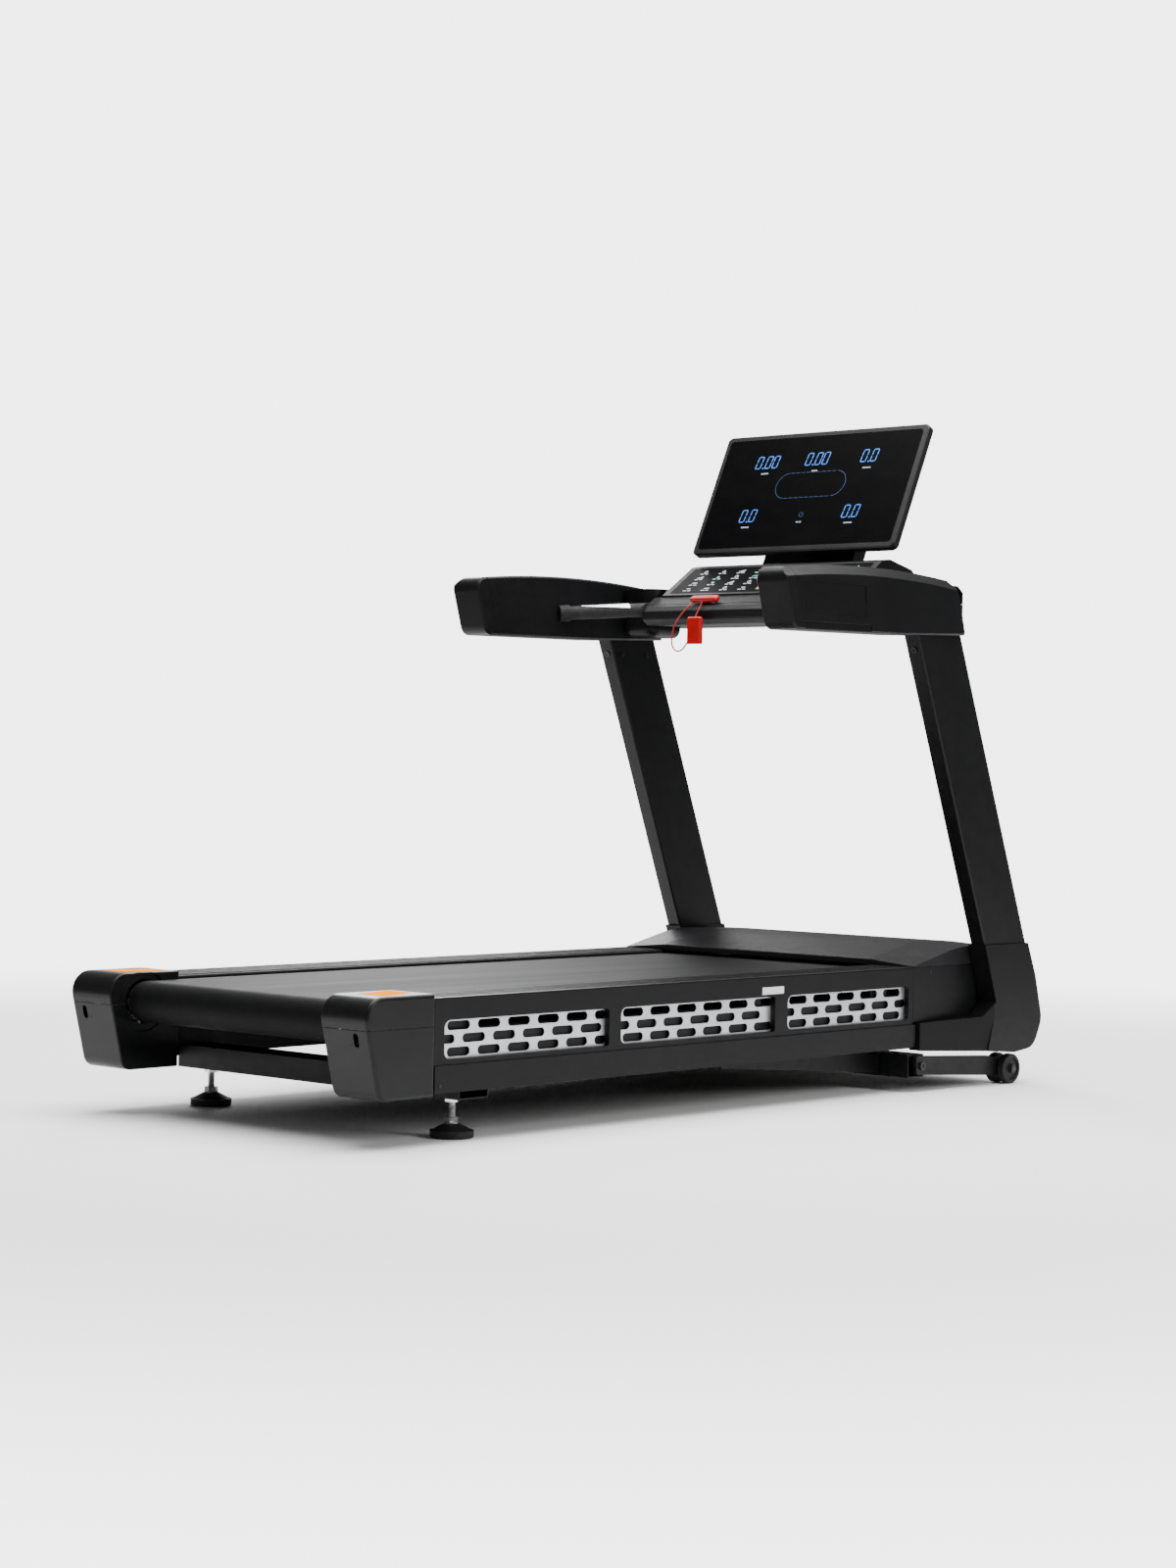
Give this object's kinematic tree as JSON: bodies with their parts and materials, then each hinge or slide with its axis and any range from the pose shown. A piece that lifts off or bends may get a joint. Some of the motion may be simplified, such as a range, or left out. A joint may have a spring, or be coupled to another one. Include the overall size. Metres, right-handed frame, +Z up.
{
  "type": "treadmill",
  "caption": "Motor treadmill: belt deck on a lifting frame, upright posts with long side arms, drink wells, key console and tilted display screen.",
  "frame": {"origin": "on the floor, under the middle of the bounding box", "axes": "+X to the user's right, +Y towards the console, +Z up"},
  "size_m": [0.96, 2.0621, 1.4819],
  "materials": {
    "black_plastic": "satin moulded",
    "dark_plastic": "fine grain",
    "black_steel": "satin powder coat",
    "raw_steel": "zinc plated",
    "silver": "satin",
    "belt": "woven top",
    "rubber": "matt",
    "board": "waxed phenolic face",
    "black_glass": "gloss",
    "red": "gloss",
    "red_cord": "braided",
    "orange": "printed film",
    "tyre": "matt"
  },
  "bodies": {
    "base": {"base_frame": "black_steel", "roller_supports": "raw_steel", "roller_shafts": "raw_steel", "deck_board": "board", "deck_cushions": "rubber", "running_belt": "belt", "foot_rails": "dark_plastic", "side_panels": "black_plastic", "side_skirts": "black_plastic", "side_grilles": "silver", "rear_cap_lowers": "black_plastic", "rear_cap_uppers": "black_plastic", "motor_hood_centre": "dark_plastic", "motor_hood_sides": "dark_plastic", "front_panels": "black_plastic", "base_pan": "black_steel", "motor_plate": "black_steel", "drive_motor": "silver", "drive_belt": "rubber", "inverter_box": "silver", "uprights": "black_steel", "boots": "black_plastic", "arm_shells": "dark_plastic", "arm_end_caps": "black_plastic", "arm_side_panels": "black_plastic", "grip_bars": "rubber", "pulse_plates": "silver", "console_frame": "black_steel", "console_lower": "dark_plastic", "console_upper": "dark_plastic", "key_panel_glass": "black_glass", "cup_holders": "black_plastic", "screen_neck": "dark_plastic", "screen_housing": "black_plastic", "screen_glass": "black_glass", "fasteners": "raw_steel", "labels": "orange", "sockets": "black_plastic"},
    "rear_roller": {"rear_roller": "raw_steel", "rear_roller_bearings": "raw_steel"},
    "front_roller": {"front_roller": "raw_steel", "front_roller_bearings": "raw_steel", "roller_pulley": "silver"},
    "motor_rotor": {"motor_rotor": "raw_steel"},
    "lift_frame": {"lift_frame": "black_steel", "lift_wheel_bars": "black_steel", "wheel_axles": "raw_steel"},
    "wheels_left": {"wheels_left": "tyre"},
    "wheels_right": {"wheels_right": "tyre"},
    "actuator_body": {"actuator_body": "silver"},
    "actuator_screw": {"actuator_screw": "raw_steel"},
    "foot_left": {"foot_pad_left": "rubber", "foot_rod_left": "raw_steel"},
    "foot_right": {"foot_pad_right": "rubber", "foot_rod_right": "raw_steel"},
    "safety_key": {"safety_key": "red", "lanyard": "red_cord", "key_clip": "red"},
    "power_rocker": {"power_rocker": "black_plastic"}
  },
  "joints": [
    {"name": "rear_roller_spin", "type": "hinge", "parent": "base", "child": "rear_roller", "pos_m": [0, -0.945, 0.2235], "axis": [1, 0, 0], "continuous": true},
    {"name": "front_roller_spin", "type": "hinge", "parent": "base", "child": "front_roller", "pos_m": [0, 0.69, 0.2235], "axis": [1, 0, 0], "continuous": true},
    {"name": "motor_spin", "type": "hinge", "parent": "base", "child": "motor_rotor", "pos_m": [0.2, 0.84, 0.2], "axis": [1, 0, 0], "continuous": true},
    {"name": "lift_hinge", "type": "hinge", "parent": "base", "child": "lift_frame", "pos_m": [0, 0.06, 0.1], "axis": [-1, 0, 0], "range_deg": [0, 13]},
    {"name": "actuator_tilt", "type": "hinge", "parent": "base", "child": "actuator_body", "pos_m": [-0.15, 0.885, 0.235], "axis": [1, 0, 0], "range_deg": [0, 14.6]},
    {"name": "actuator_extend", "type": "slide", "parent": "actuator_body", "child": "actuator_screw", "axis": [0, -0.7833, -0.6216], "range_m": [0, 0.112]},
    {"name": "wheels_left_spin", "type": "hinge", "parent": "lift_frame", "child": "wheels_left", "pos_m": [-0.433, 0.937, 0.0335], "axis": [1, 0, 0], "continuous": true},
    {"name": "wheels_right_spin", "type": "hinge", "parent": "lift_frame", "child": "wheels_right", "pos_m": [0.433, 0.937, 0.0335], "axis": [1, 0, 0], "continuous": true},
    {"name": "foot_left_level", "type": "slide", "parent": "base", "child": "foot_left", "axis": [0, 0, -1], "range_m": [-0.01, 0.025]},
    {"name": "foot_right_level", "type": "slide", "parent": "base", "child": "foot_right", "axis": [0, 0, -1], "range_m": [-0.01, 0.025]},
    {"name": "safety_key_pull", "type": "slide", "parent": "base", "child": "safety_key", "axis": [0, -0.5718, 0.8204], "range_m": [0, 0.03]},
    {"name": "power_switch", "type": "hinge", "parent": "base", "child": "power_rocker", "pos_m": [-0.205, 0.979, 0.24], "axis": [1, 0, 0], "range_deg": [0, 10]}
  ],
  "couplings": [
    {"joint": "front_roller_spin", "follows": "rear_roller_spin", "ratio": 1},
    {"joint": "motor_spin", "follows": "rear_roller_spin", "ratio": 2.3},
    {"joint": "actuator_tilt", "follows": "lift_hinge", "ratio": 1.11},
    {"joint": "actuator_extend", "follows": "lift_hinge", "m_per_rad": 0.486}
  ]
}
